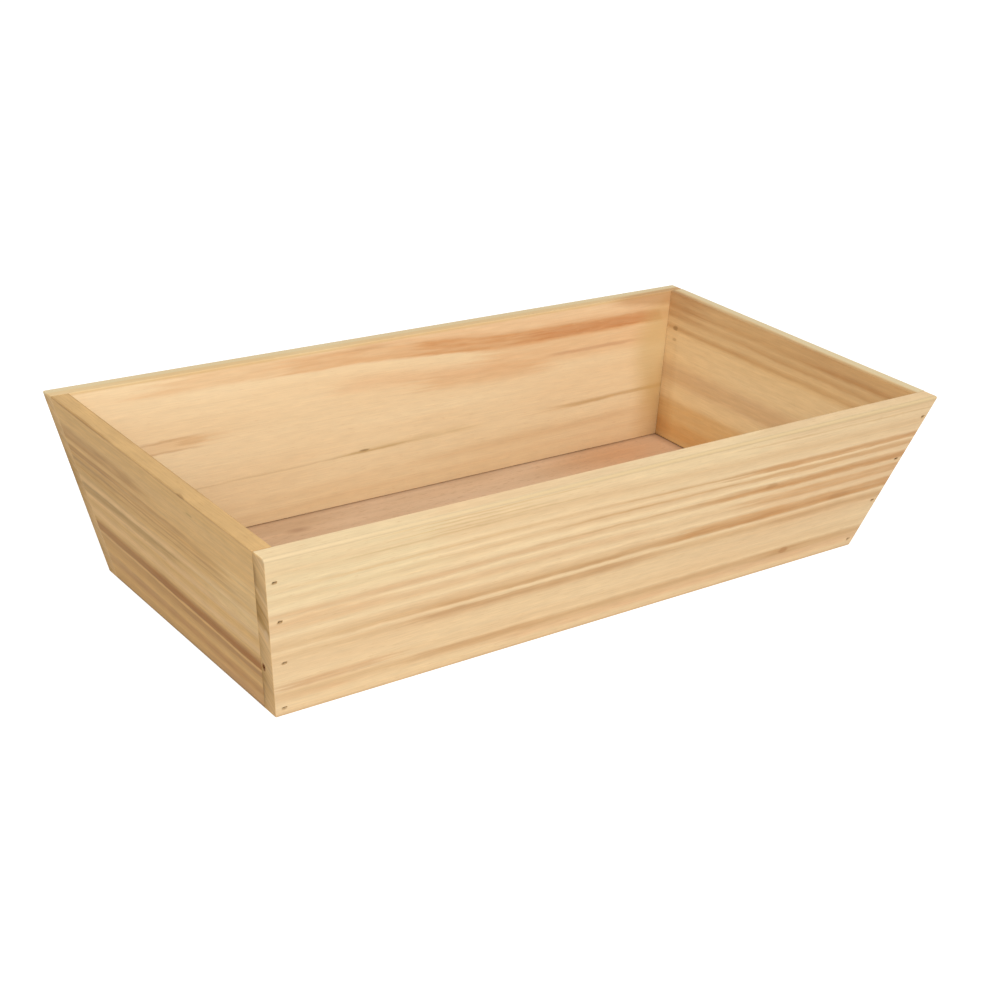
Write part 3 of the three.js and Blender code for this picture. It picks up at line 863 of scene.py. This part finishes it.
def brad_steel():
    """Bare drawn steel that has browned in the wood: dark, dull, with small rust clouds."""
    material, tree = bare_material("browned_steel_wire")
    coords = node(tree, "TexCoord")
    scaled = {"Vector": coords.outputs["Object"], "Scale": TO_MM}
    grain = node(tree, "Mapping", scaled).outputs[0]
    cloud = node(tree, "TexNoise", {"Vector": grain, "Scale": 1.6, "Detail": 3.0}).outputs["Fac"]
    rust = node(tree, "MapRange", {"Value": cloud, "From Min": 0.35, "From Max": 0.65}).outputs[0]
    bare, brown = linear("#7d6c50"), linear("#6b4d26")
    colour = node(tree, "Mix", {0: rust, 6: bare, 7: brown}, data_type="RGBA").outputs[2]
    metal = node(tree, "MapRange", {"Value": rust, "To Min": 0.9, "To Max": 0.3}).outputs[0]
    rough = node(tree, "MapRange", {"Value": rust, "To Min": 0.42, "To Max": 0.8}).outputs[0]
    bump = node(tree, "Bump", {"Height": cloud, "Strength": 0.4, "Distance": 0.05 * MM}).outputs[0]
    surface = node(tree, "BsdfPrincipled", {
        "Base Color": colour, "Metallic": metal, "Roughness": rough, "Normal": bump,
    }).outputs[0]
    node(tree, "OutputMaterial", {"Surface": surface})
    return material


plywood = floor_plywood()
steel = brad_steel()
for name, carried in nodes.items():
    if name == "floor_panel" or name.startswith("brad_"):
        carried.data.materials.clear()
        carried.data.materials.append(plywood if name == "floor_panel" else steel)

# The camera stands where the photograph was taken from. Its place is in metres.
CAMERA_PLACE = Vector((-0.5247, -0.64495, 0.40365))
CAMERA_RIGHT = Vector((0.79754, -0.59885, 0.07287))
CAMERA_UP = Vector((0.19013, 0.36416, 0.91172))
CAMERA_BACK = Vector((-0.57252, -0.71328, 0.40429))
SENSOR = 36.0
FOCAL_PIXELS = 1800.65
IMAGE_PIXELS = 984.0

eye = bpy.data.cameras.new("camera")
eye.sensor_width = SENSOR
eye.lens = SENSOR * FOCAL_PIXELS / IMAGE_PIXELS
eye.clip_start = 0.01
camera = bpy.data.objects.new("camera", eye)
bpy.context.scene.collection.objects.link(camera)
turn = Matrix((CAMERA_RIGHT, CAMERA_UP, CAMERA_BACK)).transposed()
camera.matrix_world = Matrix.Translation(CAMERA_PLACE) @ turn.to_4x4()
bpy.context.scene.camera = camera
bpy.context.scene.view_settings.view_transform = "Standard"


def seen_directly(tree):
    """One where the camera looks, also in a mirror or through glass, and nothing for other light."""
    rays = node(tree, "LightPath").outputs
    mirrored = {0: rays["Is Camera Ray"], 1: rays["Is Glossy Ray"]}
    direct = node(tree, "Math", mirrored, operation="MAXIMUM").outputs[0]
    through = {0: direct, 1: rays["Is Transmission Ray"]}
    return node(tree, "Math", through, operation="MAXIMUM").outputs[0]


# Floor: pale and matt, white to the eye of the camera, with the tray's own soft shadow. It lies a hair
# below the tray's foot. Sizes and places are in metres from here on.
FLOOR_SIZE = 12
FLOOR_LEVEL = -0.0002
FLOOR_GLOW = 0.68
bpy.ops.object.select_all(action="DESELECT")
bpy.ops.mesh.primitive_plane_add(size=FLOOR_SIZE, location=(0, 0, FLOOR_LEVEL))
floor = bpy.context.object
floor.name = "floor"
paper, tree = bare_material("white_paper")
lift = node(tree, "Math", {0: seen_directly(tree), 1: FLOOR_GLOW}, operation="MULTIPLY")
matt = node(tree, "BsdfDiffuse", {"Color": linear("#d0d0d0")})
glow = node(tree, "Emission", {"Color": linear("#ffffff"), "Strength": lift.outputs[0]})
both = node(tree, "AddShader", {0: matt.outputs[0], 1: glow.outputs[0]})
node(tree, "OutputMaterial", {"Surface": both.outputs[0]})
floor.data.materials.append(paper)

# Light: an even room, white where the camera sees it, and one wide soft lamp from the front and above.
ROOM_LIGHT = 0.52
world = bpy.data.worlds.new("room")
bpy.context.scene.world = world
world.use_nodes = True
tree = world.node_tree
tree.nodes.clear()
level = node(tree, "MapRange", {"Value": seen_directly(tree), "To Min": ROOM_LIGHT, "To Max": 1.0})
sky = node(tree, "Background", {"Color": linear("#ffffff"), "Strength": level.outputs[0]})
node(tree, "OutputWorld", {"Surface": sky.outputs[0]})

LAMP_PLACE = Vector((-0.95, -1.55, 1.55))
LAMP_AIM = Vector((0, 0, 0.05))
lamp_data = bpy.data.lights.new("softbox", "AREA")
lamp_data.shape = "RECTANGLE"
lamp_data.size = 1.6
lamp_data.size_y = 1.2
lamp_data.energy = 46.0
lamp = bpy.data.objects.new("softbox", lamp_data)
bpy.context.scene.collection.objects.link(lamp)
lamp.location = LAMP_PLACE
lamp.rotation_euler = (LAMP_AIM - LAMP_PLACE).to_track_quat("-Z", "Y").to_euler()
